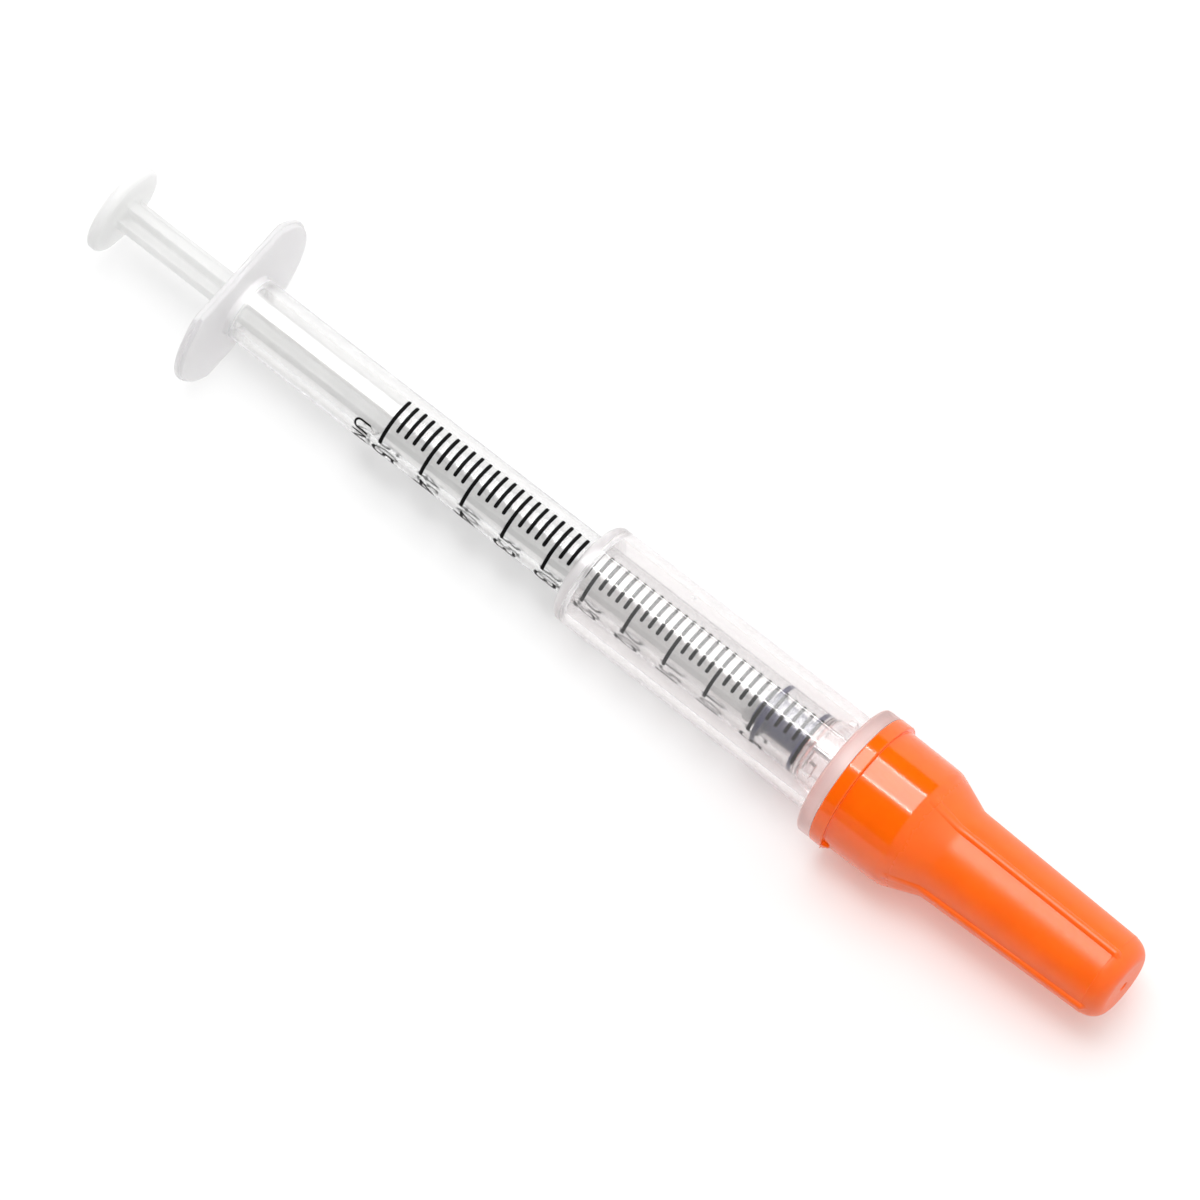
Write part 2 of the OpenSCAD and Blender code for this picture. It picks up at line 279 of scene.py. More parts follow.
# ---------------------------------------------------------------- collar
collar_front = COLLAR_BACK + COLLAR_LEN
lug_back = COLLAR_BACK + LUG_START
lug_rows = [lug_back + d for d in (-0.01, 0, 0.06, 0.3, LUG_LEN - 0.06, LUG_LEN, LUG_LEN + 0.01)]
collar_outline = rounded([
    (COLLAR_BACK, NOSE_R + 0.02, 0.04),
    (COLLAR_BACK, COLLAR_R, 0.06),
    *[(s, COLLAR_R + (COLLAR_FRONT_R - COLLAR_R) * (s - COLLAR_BACK) / COLLAR_LEN, 0) for s in lug_rows],
    (collar_front, COLLAR_FRONT_R, 0.08),
    (collar_front, NOSE_R + 0.02, 0.05),
])
LUG_HALF = math.degrees(LUG_WIDE / 2 / LUG_R)


def lug_shape(row, s, angle, r):
    """Raises the three snap lugs, which rise a little toward the needle and have eased ends."""
    if not lug_rows[0] < s < lug_rows[-1] or r < COLLAR_R:
        return r
    off = min(abs((math.degrees(angle) - a + 180) % 360 - 180) for a in LUG_ANGLES)
    edge = min(1.0, max(0.0, (LUG_HALF - off) / 0.8))
    eased = 0.04 if s in (lug_rows[1], lug_rows[-2]) else 0
    top = LUG_R - LUG_SLOPE * (lug_rows[-2] - s) / LUG_LEN - eased
    return r + (top - r) * edge


lug_turns = angles(96, *[(a, LUG_HALF + 0.4, 25) for a in LUG_ANGLES])
collar = piece("collar_ring", "barrel", "collar_plastic", "collar",
               *spin(collar_outline, lug_turns, shape=lug_shape))


# ---------------------------------------------------------------- plunger rod
rod_face = ROD_BACK + THUMB_T
thrust_back = ROD_FRONT - THRUST_T
# the hollow round from the disc to the fins, as (distance from the disc, radius)
root = [(0.0, 1.95), (0.03, 1.8), (0.1, 1.6), (0.22, 1.4), (0.4, 1.2), (0.65, 1.0), (1.0, 0.8), (1.4, 0.5)]
rod_outline = rounded([
    (ROD_BACK, 0, 0),
    (ROD_BACK, THUMB_R, 0.4),
    (rod_face, THUMB_R, 0.4),
    (rod_face, ROOT_R, 0),
], closed=False, steps=7)
first_cross = len(rod_outline)
rod_outline += [(rod_face + d, r) for d, r in root]
rod_outline += [(s, CORE_R) for s in np.linspace(rod_face + 2, thrust_back - 0.25, 24)]
rod_outline += [(thrust_back - 0.1, CORE_R), (thrust_back - 0.02, 2 * CORE_R)]
last_cross = len(rod_outline)
rod_outline += rounded([
    (thrust_back, 1.2, 0),
    (thrust_back, THRUST_R, 0.12),
    (ROD_FRONT, THRUST_R, 0.1),
    (ROD_FRONT, BARB_STEM_R, 0.06),
    (ROD_FRONT + BARB_FROM, BARB_STEM_R, 0.04),
    (ROD_FRONT + BARB_FROM, BARB_R, 0.06),
    (ROD_FRONT + BARB_TO, BARB_STEM_R, 0.1),
    (ROD_FRONT + BARB_TO, 0, 0),
], closed=False)


def cross(angle):
    """Radius of the cross-shaped section, its inner corners filled and its fin edges eased."""
    off = (math.degrees(angle) - FIN_ANGLE + 45) % 90 - 45
    a = max(abs(math.sin(math.radians(off))), 1e-3)
    b = max(abs(math.cos(math.radians(off))), 1e-3)
    web = ((FIN_T / 2 / a) ** 9 + (FIN_T / 2 / b) ** 9) ** (1 / 9)
    return (web ** -22 + ROD_R ** -22) ** (-1 / 22)


def rod_shape(row, s, angle, r):
    """Raises the fins between the thumb disc and the thrust disc."""
    if first_cross <= row < last_cross:
        return (r ** 14 + cross(angle) ** 14) ** (1 / 14)
    return r


tip_off = math.degrees(math.asin(FIN_T / 2 / ROD_R))
fins = [(FIN_ANGLE + 90 * q + side * tip_off, 3.0, 7) for q in range(4) for side in (-1, 1)]
rod = piece("plunger_rod_body", "plunger", "rod_plastic", "plunger_rod",
            *spin(rod_outline, angles(120, *fins), closed=False, shape=rod_shape))


# ---------------------------------------------------------------- stopper
def rib(low, high, flank=0.1):
    """The section of one sealing rib, pressed flat on the bore, from back to front."""
    rise = STOPPER_RIB_R - WAIST_R
    turns = np.linspace(0, math.pi / 2, 6)
    up = [(low + flank * (1 - math.cos(a)), WAIST_R + rise * math.sin(a)) for a in turns]
    down = [(low + high - s, r) for s, r in reversed(up)]
    return up + down


stopper_outline = [(STOPPER_BACK + HOLE_LEN, 0)]
stopper_outline += rounded([
    (STOPPER_BACK + HOLE_LEN, HOLE_R, 0),
    (STOPPER_BACK, HOLE_R, 0.05),
    (STOPPER_BACK, WAIST_R, 0.12),
    (STOPPER_BACK + 0.5, WAIST_R, 0.0),
], closed=False)
stopper_outline += rib(STOPPER_BACK + BACK_RIB[0], STOPPER_BACK + BACK_RIB[1])
stopper_outline += rib(PLUNGER_HOME + FRONT_RIB[0], PLUNGER_HOME + FRONT_RIB[1])
stopper_outline += [(PLUNGER_HOME - 0.02, WAIST_R - 0.03), (PLUNGER_HOME, WAIST_R - 0.08), (PLUNGER_HOME, 0)]
stopper = piece("stopper_body", "plunger", "stopper_rubber", "stopper",
                *spin(stopper_outline, angles(144), closed=False), sharp=50)


# ---------------------------------------------------------------- guard sleeve
lip_front = SLEEVE_BACK + LIP_LEN
sleeve_outline = rounded([
    (SLEEVE_BACK, LIP_BORE_R, 0.08),
    (SLEEVE_BACK + 0.03, LIP_BORE_R + 0.55, 0.3),
    (SLEEVE_BACK + 0.45, SLEEVE_R, 0.75),
    (GATE_X - 0.7, SLEEVE_R, 0),
    *[(s, SLEEVE_R, 0) for s in np.linspace(GATE_X - 0.4, GATE_X + 0.4, 11)],
    (GATE_X + 0.7, SLEEVE_R, 0),
    (GUARD_FACE, SLEEVE_R, 0.28),
    (GUARD_FACE, GUARD_R, 0.3),
    (GUARD_FACE + GUARD_T, GUARD_R, 0.06),
    (GUARD_FACE + GUARD_T, SPIGOT_R, 0.05),
    (SLEEVE_TIP - SPIGOT_CHAMFER, SPIGOT_R, 0.1),
    (SLEEVE_TIP, SPIGOT_R - SPIGOT_CHAMFER, 0.06),
    (SLEEVE_TIP, SPIGOT_BORE_R, 0.06),
    (GUARD_FACE, SPIGOT_BORE_R, 0.1),
    (GUARD_FACE, SLEEVE_BORE_R, 0.15),
    (lip_front + 0.5, SLEEVE_BORE_R, 0.3),
    (lip_front, SLEEVE_BORE_R - 0.5, 0.1),
    (lip_front, LIP_BORE_R, 0.08),
], steps=6)


def gate_shape(row, s, angle, r):
    """A small gate mark on the outside of the sleeve."""
    if abs(s - GATE_X) > 0.4 or r < SLEEVE_R - 0.01:
        return r
    off = math.radians((math.degrees(angle) - GATE_ANGLE + 180) % 360 - 180) * SLEEVE_R
    return r + GATE_HIGH * math.exp(-((off ** 2 + (s - GATE_X) ** 2) / GATE_R ** 2) ** 2)


sleeve = piece("guard_sleeve_body", "sleeve", "sleeve_plastic", "guard_sleeve",
               *spin(sleeve_outline, angles(180, (GATE_ANGLE, 4, 15)), shape=gate_shape))


# ---------------------------------------------------------------- needle cap
def at_cap(z):
    """The station at z mm from the cap's open end."""
    return CAP_BACK + z


shoulder_z = WIDE_LEN + SHOULDER_LEN
draft = (NARROW_R - NARROW_END_R) / (CAP_LEN - CAP_ROUND_X - shoulder_z)
outer = rounded([
    (at_cap(0), CAP_BORE_R + CAP_MOUTH, 0.05),
    (at_cap(0), RING_R, 0.1),
    (at_cap(RING_T), RING_R, 0.14),
    (at_cap(RING_T), WIDE_R, 0.06),
    *[(at_cap(RING_T + d), WIDE_R, 0) for d in np.linspace(0.2, NUB_LEN + 0.1, 9)],
    (at_cap(WIDE_LEN + 0.15), WIDE_END_R, 1.9),
    (at_cap(shoulder_z - 0.1), NARROW_R + 0.02, 0.9),
], closed=False, steps=10)
round_z = CAP_LEN - CAP_ROUND_X
end_r = NARROW_END_R - LINE_STEP


def narrow_r(z):
    """Radius of the narrow part at z from the cap's open end, with the mould line and the round end."""
    r = NARROW_R - draft * (min(z, round_z) - shoulder_z) - (LINE_STEP if z > LINE_Z else 0)
    return r - CAP_ROUND_R * (1 - math.sqrt(1 - (max(z - round_z, 0) / CAP_ROUND_X) ** 2))


narrow_rows = [10.2, 10.6, *np.linspace(11, 24.6, 28), *np.linspace(24.75, LINE_Z, 6), LINE_Z + 0.03]
narrow_rows += [round_z + CAP_ROUND_X * math.sin(a) for a in np.linspace(0, math.pi / 2, 18)
                if round_z + CAP_ROUND_X * math.sin(a) > LINE_Z + 0.08]
outer += [(at_cap(z), narrow_r(z)) for z in narrow_rows]
outer += [(at_cap(CAP_LEN), r) for r in (end_r - CAP_ROUND_R - 0.05, 1.3, 0.55)]
# the gate in the middle of the round end, as (depth, radius)
gate_dimple = [(0.005, 0.47), (0.05, 0.42), (0.12, 0.36), (0.13, 0.2), (0.09, 0.14), (0.07, 0)]
outer += [(at_cap(CAP_LEN - deep), r) for deep, r in gate_dimple]
inner = rounded([
    (at_cap(CAP_LEN - CAP_WALL), 0, 0),
    (at_cap(CAP_LEN - CAP_WALL), HOLLOW_END_R, 0.45),
    (at_cap(HOLLOW_NARROW), HOLLOW_R, 0.6),
    (at_cap(HOLLOW_SHOULDER), CAP_BORE_R, 0.6),
    (at_cap(CAP_MOUTH), CAP_BORE_R, 0.1),
    (at_cap(0), CAP_BORE_R + CAP_MOUTH, 0.05),
], closed=False, steps=5)
cap_outline = inner[:-1] + outer
first_outer = len(inner) - 1


def rib_shape(row, s, angle, r):
    """Raises the grip ribs and the small moulding nub in front of the ring."""
    if row < first_outer:
        return r
    z = s - CAP_BACK
    deg = math.degrees(angle)
    if RING_T - 0.02 < z < RING_T + NUB_LEN + 0.3 and r < RING_R - 0.1:
        off = abs((deg - NUB_ANGLE + 180) % 360 - 180)
        if off < NUB_HALF:
            fall = max(0.0, 1 - ((z - RING_T) / NUB_LEN) ** 2) * (1 - (off / NUB_HALF) ** 4)
            return r + NUB_HIGH * math.sqrt(fall)
    if not RIB_START - RIB_R < z < RIB_END + RIB_R:
        return r
    centre = NARROW_R - draft * (z - shoulder_z) + RIB_PROUD - RIB_R
    over = max(RIB_START - z, z - RIB_END, 0.0)
    size = math.sqrt(max(RIB_R ** 2 - over ** 2, 0.0))
    off = min(abs((deg - a + 180) % 360 - 180) for a in RIB_ANGLES)
    side = centre * math.sin(math.radians(off))
    if off > 8 or side >= size:
        return r
    bead = centre * math.cos(math.radians(off)) + math.sqrt(size ** 2 - side ** 2)
    return bead * (1 + (r / bead) ** 500) ** (1 / 500) if bead > r - 0.1 else r


cap = piece("needle_cap_body", "cap", "cap_plastic", "needle_cap",
            *spin(cap_outline, angles(180, *[(a, 6.0, 31) for a in RIB_ANGLES], (NUB_ANGLE, 3.4, 13)),
                  closed=False, shape=rib_shape), sharp=40)


# ---------------------------------------------------------------- printed scale
INK_LOW, INK_HIGH = -0.004, 0.009    # heights over the barrel's surface
SLICE = 0.14                         # longest flat step of the print round the barrel
WELD = 0.002                         # corners of the lettering closer than this become one
UNEVEN = 0.008                       # how far the edge of a printed line strays


def wrap(x, around, height):
    """The point of the flat print at x (station) and around (mm of arc from +Y), height above the barrel."""
    return place(x, around / BARREL_R, BARREL_R + height)


def printed(name, bm):
    """Wraps a flat closed print on the barrel. x is the station, y the arc length and z the height."""
    for v in bm.verts:
        v.co = Vector(wrap(*v.co))
    mesh = bpy.data.meshes.new(name)
    bmesh.ops.recalc_face_normals(bm, faces=bm.faces)
    bm.to_mesh(mesh)
    bm.free()
    obj = bpy.data.objects.new(name, mesh)
    bpy.context.scene.collection.objects.link(obj)
    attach(obj, "barrel")
    return obj


def thicken(bm):
    """Gives a flat sheet at the low side of the ink its thickness."""
    made = bmesh.ops.extrude_face_region(bm, geom=bm.faces[:])
    for v in made["geom"]:
        if isinstance(v, bmesh.types.BMVert):
            v.co.z = INK_HIGH


def mark(bm, x, start, stop, width):
    """One line of the scale: a strip along the arc with soft corners and slightly uneven edges."""
    low, high = math.radians(start) * BARREL_R, math.radians(stop) * BARREL_R
    steps = max(4, round((high - low) / SLICE))
    rows = []
    for k in range(steps + 1):
        around = low + (high - low) * k / steps
        half = width / 2 * (0.72 if k in (0, steps) else 1.0)
        rows.append([bm.verts.new((x + side * (half + random.uniform(-UNEVEN, UNEVEN)), around, INK_LOW))
                     for side in (-1, 1)])
    for a, b in zip(rows, rows[1:]):
        bm.faces.new((a[0], a[1], b[1], b[0]))


def scale_x(unit):
    """The station of a unit's line. The print of the last ten units is a little wider."""
    last = min(unit, LAST_UNITS)
    return ZERO_MARK - last * LAST_UNIT - (unit - last) * UNIT


marks = bmesh.new()
for unit in range(UNITS + 1):
    long = unit % 5 == 0
    mark(marks, scale_x(unit), MARK_FROM + random.uniform(-0.6, 0.6),
         (LONG_TO if long else MARK_TO) + random.uniform(-0.8, 0.8), MARK_W)
thicken(marks)
scale_marks = printed("scale_marks", marks)


def lettering(text):
    """Corners and faces of flat lettering in Blender's own font, at its own size."""
    curve = bpy.data.curves.new("lettering", "FONT")
    curve.body = text
    curve.resolution_u = 6
    holder = bpy.data.objects.new("lettering", curve)
    bpy.context.scene.collection.objects.link(holder)
    bpy.context.view_layer.update()
    mesh = bpy.data.meshes.new_from_object(holder.evaluated_get(bpy.context.evaluated_depsgraph_get()))
    bpy.data.objects.remove(holder)
    bpy.data.curves.remove(curve)
    co = np.array([v.co for v in mesh.vertices])
    polys = [tuple(p.vertices) for p in mesh.polygons]
    bpy.data.meshes.remove(mesh)
    return co, polys


def print_text(bm, text, model, x, start, tall, wide):
    """Adds lettering at station x from an angle on. The model letter comes out tall by wide."""
    sample = lettering(model)[0]
    low, size = sample.min(0), np.ptp(sample, axis=0)
    co, polys = lettering(text)
    co = (co - low) / (size[0], size[1], 1) * (wide, tall, 0)
    around = math.radians(start) * BARREL_R
    sheet = bmesh.new()
    verts = [sheet.verts.new((p[0], p[1], 0)) for p in co]
    for poly in polys:
        sheet.faces.new([verts[i] for i in poly])
    bmesh.ops.remove_doubles(sheet, verts=sheet.verts, dist=WELD)
    cut = SLICE
    while cut < co[:, 0].max():
        bmesh.ops.bisect_plane(sheet, geom=sheet.verts[:] + sheet.edges[:] + sheet.faces[:],
                               plane_co=(cut, 0, 0), plane_no=(1, 0, 0), dist=1e-6)
        cut += SLICE
    bmesh.ops.remove_doubles(sheet, verts=sheet.verts, dist=WELD)
    bmesh.ops.triangulate(sheet, faces=sheet.faces[:])
    bmesh.ops.dissolve_degenerate(sheet, dist=WELD, edges=sheet.edges[:])
    kept = {v: bm.verts.new((x + v.co.y, around + v.co.x, INK_LOW)) for v in sheet.verts}
    for face in sheet.faces:
        bm.faces.new([kept[v] for v in face.verts])
    sheet.free()


numerals = bmesh.new()
for value in range(5, UNITS + 1, 5):
    print_text(numerals, str(value), "0", scale_x(value) + DIGIT_SHIFT, DIGIT_FROM, DIGIT_TALL, DIGIT_WIDE)
thicken(numerals)
scale_numerals = printed("scale_numerals", numerals)

words = bmesh.new()
print_text(words, "UNITS", "U", WORD_X, WORD_FROM, WORD_TALL, WORD_WIDE)
thicken(words)
scale_words = printed("scale_units", words)


# ---------------------------------------------------------------- materials
class Look:
    """A node material around one Principled shader, built step by step."""

    def __init__(self, name, **values):
        self.mat = bpy.data.materials.new(name)
        self.mat.use_nodes = True
        self.nodes, self.links = self.mat.node_tree.nodes, self.mat.node_tree.links
        self.shader = self.nodes["Principled BSDF"]
        for key, value in values.items():
            self.shader.inputs[key.replace("_", " ")].default_value = value
        self.coords = self.nodes.new("ShaderNodeTexCoord").outputs["Object"]

    def noise(self, scale, detail=3, rough=0.5, stretch=(1, 1, 1)):
        """A noise of features 1/scale metres wide."""
        squeeze = self.nodes.new("ShaderNodeMapping")
        squeeze.inputs["Scale"].default_value = stretch
        self.links.new(self.coords, squeeze.inputs["Vector"])
        made = self.nodes.new("ShaderNodeTexNoise")
        made.inputs["Scale"].default_value = scale
        made.inputs["Detail"].default_value = detail
        made.inputs["Roughness"].default_value = rough
        self.links.new(squeeze.outputs["Vector"], made.inputs["Vector"])
        return made.outputs["Fac"]

    def patches(self, scale, low=0.0, high=1.0, start=0.3, stop=0.7):
        """A value that drifts between low and high in patches 1/scale metres wide."""
        return self.ramp(self.noise(scale), start, stop, low, high)

    def ramp(self, source, low, high, out_low=0.0, out_high=1.0):
        """Maps a value from one range to another, clamped."""
        made = self.nodes.new("ShaderNodeMapRange")
        for key, value in (("From Min", low), ("From Max", high), ("To Min", out_low), ("To Max", out_high)):
            made.inputs[key].default_value = value
        self.links.new(source, made.inputs["Value"])
        return made.outputs["Result"]

    def maths(self, operation, *values):
        """A sum or product of sockets and plain numbers."""
        made = self.nodes.new("ShaderNodeMath")
        made.operation = operation
        for socket, value in zip(made.inputs, values):
            if isinstance(value, (int, float)):
                socket.default_value = value
            else:
                self.links.new(value, socket)
        return made.outputs["Value"]

    def parts(self):
        """The X, Y and Z of the coordinates."""
        split = self.nodes.new("ShaderNodeSeparateXYZ")
        self.links.new(self.coords, split.inputs["Vector"])
        return split.outputs

    def between(self, value, low, high, soft):
        """1 between two values and 0 outside, with soft borders."""
        rise = self.ramp(value, low - soft, low + soft)
        return self.maths("MULTIPLY", rise, self.ramp(value, high - soft, high + soft, 1.0, 0.0))

    def along(self, low, high, soft=0.1):
        """1 between two stations and 0 outside, with borders that are soft over this many mm."""
        return self.between(self.parts()["X"], ZERO_X + low * MM, ZERO_X + high * MM, soft * MM)

    def blend(self, mask, plain, masked):
        """The plain value where the mask is 0 and the masked one where it is 1. Colours are tuples."""
        made = self.nodes.new("ShaderNodeMix")
        made.data_type = "RGBA" if isinstance(masked, tuple) else "FLOAT"
        ends = [e for e in made.inputs if e.enabled and e.name in "AB"]
        for socket, value in zip(ends, (plain, masked)):
            if isinstance(value, bpy.types.NodeSocket):
                self.links.new(value, socket)
            else:
                socket.default_value = (*value, 1) if isinstance(value, tuple) else value
        self.links.new(mask, [e for e in made.inputs if e.enabled and e.name == "Factor"][0])
        return [e for e in made.outputs if e.enabled][0]

    def roughness(self, source):
        """Sets the roughness from a value."""
        self.links.new(source, self.shader.inputs["Roughness"])

    def frost(self, mask, rough, through, tint):
        """Frosted skin where the mask is 1: roughness, share of light let through and colour."""
        for name, value in (("Roughness", rough), ("Transmission Weight", through), ("Base Color", tint)):
            socket = self.shader.inputs[name]
            plain = socket.links[0].from_socket if socket.links else socket.default_value
            self.links.new(self.blend(mask, plain, value), socket)

    def colour(self, source, dark, light):
        """A colour that varies between two with a value from 0 to 1."""
        made = self.nodes.new("ShaderNodeMix")
        made.data_type = "RGBA"
        made.inputs["A"].default_value = (*dark, 1)
        made.inputs["B"].default_value = (*light, 1)
        self.links.new(source, made.inputs["Factor"])
        self.links.new(made.outputs["Result"], self.shader.inputs["Base Color"])

    def bump(self, source, height):
        """Raises the surface by a height in mm times a value."""
        made = self.nodes.new("ShaderNodeBump")
        made.inputs["Distance"].default_value = height * MM
        self.links.new(source, made.inputs["Height"])
        self.links.new(made.outputs["Normal"], self.shader.inputs["Normal"])

    def pass_light(self, red, green, blue, bounced=True):
        """Lets this share of shadow rays, and of bounced light if asked, through each skin."""
        clear = self.nodes.new("ShaderNodeBsdfTransparent")
        clear.inputs["Color"].default_value = (red, green, blue, 1)
        mix = self.nodes.new("ShaderNodeMixShader")
        ray = self.nodes.new("ShaderNodeLightPath").outputs
        passing = ray["Is Shadow Ray"]
        if bounced:
            passing = self.maths("MAXIMUM", passing, ray["Is Diffuse Ray"])
        self.links.new(passing, mix.inputs["Fac"])
        self.links.new(self.shader.outputs["BSDF"], mix.inputs[1])
        self.links.new(clear.outputs["BSDF"], mix.inputs[2])
        self.links.new(mix.outputs["Shader"], self.nodes["Material Output"].inputs["Surface"])

    def absorb(self, density, tint):
        """Light fades on its way through the plastic, so thick parts look darker."""
        made = self.nodes.new("ShaderNodeVolumeAbsorption")
        made.inputs["Density"].default_value = density
        made.inputs["Color"].default_value = (*tint, 1)
        self.links.new(made.outputs["Volume"], self.nodes["Material Output"].inputs["Volume"])

    def on(self, *objects):
        """Makes this the only material of the objects."""
        for obj in objects:
            obj.data.materials.clear()
            obj.data.materials.append(self.mat)


barrel_look = Look("barrel_plastic", IOR=1.49, Transmission_Weight=0.95, Subsurface_Scale=0.001)
barrel_look.shader.inputs["Subsurface Radius"].default_value = (1, 1, 1)
barrel_look.colour(barrel_look.patches(300, start=0.35, stop=0.65),
                   (0.97, 0.97, 0.97), (0.99, 0.99, 0.985))
barrel_look.roughness(barrel_look.patches(2500, 0.1, 0.16))
barrel_look.bump(barrel_look.noise(9000), 0.0012)
flange_skin = barrel_look.along(FLANGE_BACK - 1.5, flange_front + 0.5, 0.4)
barrel_look.frost(flange_skin, 0.5, 0.5, (0.9, 0.89, 0.9))
barrel_look.links.new(flange_skin, barrel_look.shader.inputs["Subsurface Weight"])
barrel_look.absorb(42, (0.04, 0, 0))
barrel_look.pass_light(0.975, 0.975, 0.975)
barrel_look.on(barrel)

collar_look = Look("collar_plastic", IOR=1.5, Transmission_Weight=0.96)
collar_look.colour(collar_look.noise(400), (0.95, 0.93, 0.93), (0.98, 0.97, 0.97))
collar_look.roughness(collar_look.patches(3000, 0.05, 0.1))
collar_look.pass_light(0.95, 0.95, 0.95)
collar_look.on(collar)

sleeve_look = Look("sleeve_plastic", IOR=1.44, Transmission_Weight=0.965)
sleeve_look.colour(sleeve_look.noise(250), (0.965, 0.955, 0.955), (0.985, 0.975, 0.975))
sleeve_look.roughness(sleeve_look.patches(1500, 0.008, 0.03, start=0.35))
sleeve_look.bump(sleeve_look.noise(700, 2), 0.001)
rear_skin = sleeve_look.along(SLEEVE_BACK - 1, SLEEVE_BACK + 1.35, 0.3)
sleeve_look.frost(rear_skin, 0.3, 0.8, (0.94, 0.93, 0.935))
# the guard flange is frosted, and its pink tint is painted orange light from the cap beside it, not the
# plastic's own colour
guard_frost_and_cap_glow = sleeve_look.along(GUARD_FACE - 0.05, GUARD_FACE + GUARD_T, 0.05)
sleeve_look.frost(guard_frost_and_cap_glow, 0.45, 0.8, (0.97, 0.83, 0.8))
sleeve_look.absorb(27, (0.25, 0, 0))
sleeve_look.pass_light(0.995, 0.995, 0.995)
sleeve_look.on(sleeve)

rod_look = Look("rod_plastic", IOR=1.49, Specular_IOR_Level=0.25, Transmission_Weight=0.25,
                Subsurface_Weight=1.0, Subsurface_Scale=0.006)
rod_look.shader.inputs["Subsurface Radius"].default_value = (1, 1, 1)
rod_look.colour(rod_look.patches(350, start=0.35, stop=0.65), (0.72, 0.72, 0.713), (0.75, 0.75, 0.742))
rod_look.roughness(rod_look.patches(3000, 0.35, 0.48))
disc_skin = rod_look.along(ROD_BACK - 1, rod_face + 0.2)
rod_look.frost(disc_skin, 0.42, 0.1, (0.74, 0.74, 0.73))
rod_look.bump(rod_look.noise(8000), 0.003)
rod_look.pass_light(0.88, 0.88, 0.88, bounced=False)
rod_look.on(rod)

rubber_look = Look("stopper_rubber", IOR=1.5)
rubber_look.colour(rubber_look.patches(1200, start=0.35, stop=0.65),
                   (0.02, 0.02, 0.072), (0.034, 0.034, 0.105))
rubber_look.roughness(rubber_look.patches(5000, 0.42, 0.62))
rubber_look.bump(rubber_look.noise(9000), 0.003)
rubber_look.on(stopper)

cap_look = Look("cap_plastic", IOR=1.56, Subsurface_Weight=0.25, Subsurface_Scale=0.0015)
cap_look.shader.inputs["Subsurface Radius"].default_value = (1, 0.25, 0.05)
cap_look.colour(cap_look.patches(300, start=0.35, stop=0.65), (0.9, 0.118, 0.0), (0.96, 0.13, 0.0))
cap_gloss = cap_look.patches(2500, 0.1, 0.15)
cap_satin = cap_look.patches(2500, 0.33, 0.4)
cap_wide = cap_look.along(CAP_BACK - 1, at_cap(WIDE_LEN + 0.8), 0.8)
cap_look.roughness(cap_look.blend(cap_wide, cap_satin, cap_gloss))
cap_look.bump(cap_look.noise(350, 1), 0.012)
cap_look.pass_light(0.82, 0.76, 0.74, bounced=False)
cap_look.on(cap)

steel_look = Look("needle_steel", Metallic=1.0)
steel_look.colour(steel_look.noise(2000), (0.6, 0.61, 0.63), (0.75, 0.76, 0.78))
steel_look.roughness(steel_look.ramp(steel_look.noise(4000, stretch=(0.05, 1, 1)), 0.3, 0.7, 0.14, 0.28))
steel_look.on(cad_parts["needle"])

resin_look = Look("bond_resin", IOR=1.5, Transmission_Weight=0.8)
resin_look.colour(resin_look.noise(2500), (0.85, 0.85, 0.76), (0.95, 0.95, 0.9))
resin_look.roughness(resin_look.patches(5000, 0.06, 0.16))
resin_look.on(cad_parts["needle_bond"])

ink_look = Look("scale_ink", IOR=1.4, Specular_IOR_Level=0.1)
ink_look.colour(ink_look.patches(6000, start=0.35, stop=0.65),
                (0.0015, 0.0012, 0.0012), (0.006, 0.005, 0.005))
ink_look.roughness(ink_look.patches(9000, 0.45, 0.65))
ink_look.on(scale_marks, scale_numerals, scale_words)


# ---------------------------------------------------------------- floor, light and camera
FLOOR_HALF = 2.0
floor_mesh = bpy.data.meshes.new("floor")
floor_mesh.from_pydata([(x * FLOOR_HALF, y * FLOOR_HALF, 0) for x, y in ((-1, -1), (1, -1), (1, 1), (-1, 1))],
                       [], [(0, 1, 2, 3)])
floor = bpy.data.objects.new("floor", floor_mesh)
bpy.context.scene.collection.objects.link(floor)
floor_look = Look("floor_white")
floor_look.colour(floor_look.noise(40), (0.785, 0.785, 0.785), (0.8, 0.8, 0.8))
floor_look.roughness(floor_look.patches(300, 0.75, 0.85))
floor_look.shader.inputs["Specular IOR Level"].default_value = 0.1
floor_look.on(floor)


class Sky(Look):
    """The studio round the part: pale walls and ceiling, darker on both sides of the softbox."""

    def __init__(self, name):
        world = bpy.data.worlds.new(name)
        bpy.context.scene.world = world
        world.use_nodes = True
        self.nodes, self.links = world.node_tree.nodes, world.node_tree.links
        self.shader = self.nodes["Background"]
        self.shader.inputs["Color"].default_value = (1, 1, 1, 1)
        self.coords = self.nodes.new("ShaderNodeTexCoord").outputs["Generated"]


SKY_LIGHT, SKY_SLANT, DARK_LIGHT = 0.75, 0.38, 0.06
DARK_ANGLES = ((25, 57), (101, 161))     # degrees from +Y toward +Z, where the surroundings are dark
DARK_REACH = (-0.6, 0.12)                # slope along X between which they are dark
sky = Sky("studio")
sky_x, sky_y, sky_z = sky.parts()
turn = sky.maths("ARCTAN2", sky_z, sky_y)
bands = [sky.between(turn, math.radians(low), math.radians(high), 0.008) for low, high in DARK_ANGLES]
square_y, square_z = (sky.maths("MULTIPLY", part, part) for part in (sky_y, sky_z))
across = sky.maths("SQRT", sky.maths("ADD", square_y, square_z))
strip = sky.between(sky.maths("DIVIDE", sky_x, across), *DARK_REACH, 0.04)
dark = sky.maths("MULTIPLY", strip, sky.maths("ADD", *bands))
bright = sky.maths("ADD", sky.maths("MULTIPLY", sky_y, SKY_SLANT), SKY_LIGHT)
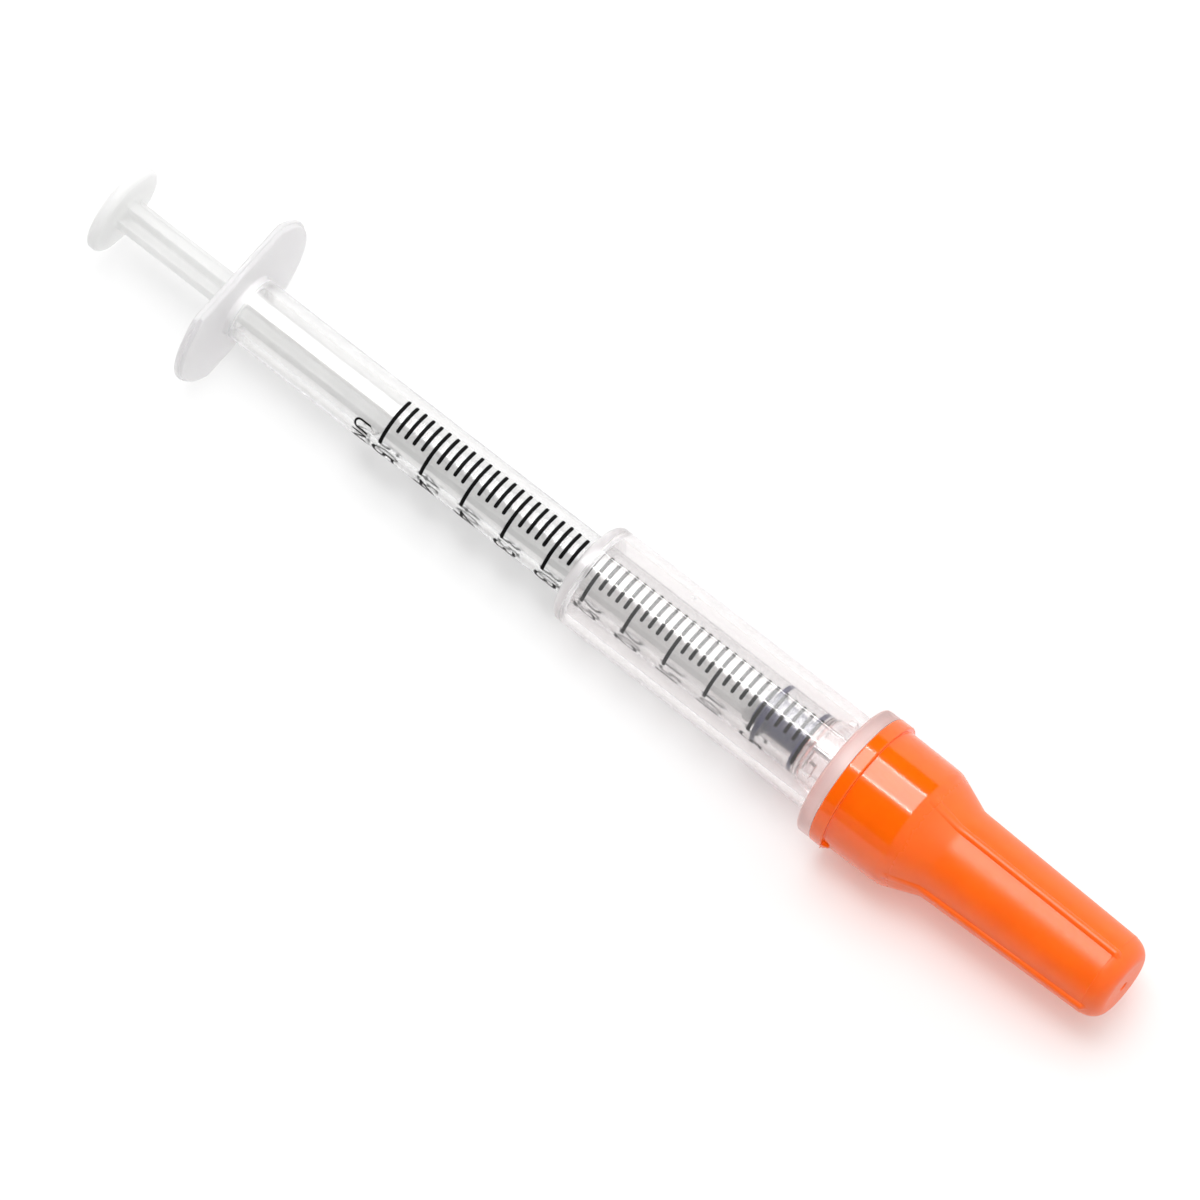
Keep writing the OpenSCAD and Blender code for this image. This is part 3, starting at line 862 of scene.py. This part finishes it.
sky.links.new(sky.blend(dark, bright, DARK_LIGHT), sky.shader.inputs["Strength"])

LIGHT_HIGH = 1.05
KEY_X, KEY_Y, KEY_LIGHT = (-0.45, 0.08), (-0.06, 0.68), 5.0
EDGE, EDGE_LIGHT = 0.03, 30.0
FILL_X, FILL_Y, FILL_LIGHT = (-0.25, 0.25), (-0.1, 0.17), 9.3


def panel(name, x_from, x_to, y_from, y_to, radiance):
    """A level light panel above the part, which looks equally bright whatever its size."""
    light = bpy.data.lights.new(name, "AREA")
    light.shape = "RECTANGLE"
    light.size, light.size_y = x_to - x_from, y_to - y_from
    light.energy = radiance * math.pi * light.size * light.size_y
    obj = bpy.data.objects.new(name, light)
    obj.location = ((x_from + x_to) / 2, (y_from + y_to) / 2, LIGHT_HIGH)
    bpy.context.scene.collection.objects.link(obj)
    return obj


panel("key", *KEY_X, *KEY_Y, KEY_LIGHT)
for name, edge_y in (("edge_near", KEY_Y[0] - EDGE), ("edge_far", KEY_Y[1])):
    panel(name, *KEY_X, edge_y, edge_y + EDGE, EDGE_LIGHT).visible_diffuse = False
panel("fill", *FILL_X, *FILL_Y, FILL_LIGHT).visible_glossy = False

CAMERA_AT = Vector((0.23797, -0.28913, 1.0137))
CAMERA_LOOK = Vector((-0.00048, -0.00128, 0.0059))
LENS, SENSOR = 410.7, 36
camera_data = bpy.data.cameras.new("camera")
camera_data.lens, camera_data.sensor_width = LENS, SENSOR
camera_data.clip_start, camera_data.clip_end = 0.05, 20
camera = bpy.data.objects.new("camera", camera_data)
bpy.context.scene.collection.objects.link(camera)
camera.location = CAMERA_AT
camera.rotation_mode = "QUATERNION"
camera.rotation_quaternion = (CAMERA_LOOK - CAMERA_AT).to_track_quat("-Z", "Y")
bpy.context.scene.camera = camera

scene = bpy.context.scene
scene.view_settings.view_transform = "Standard"
scene.cycles.caustics_refractive = False
scene.cycles.max_bounces = 24
scene.cycles.transmission_bounces = 24
scene.cycles.transparent_max_bounces = 32
scene.cycles.glossy_bounces = 8
scene.cycles.diffuse_bounces = 6
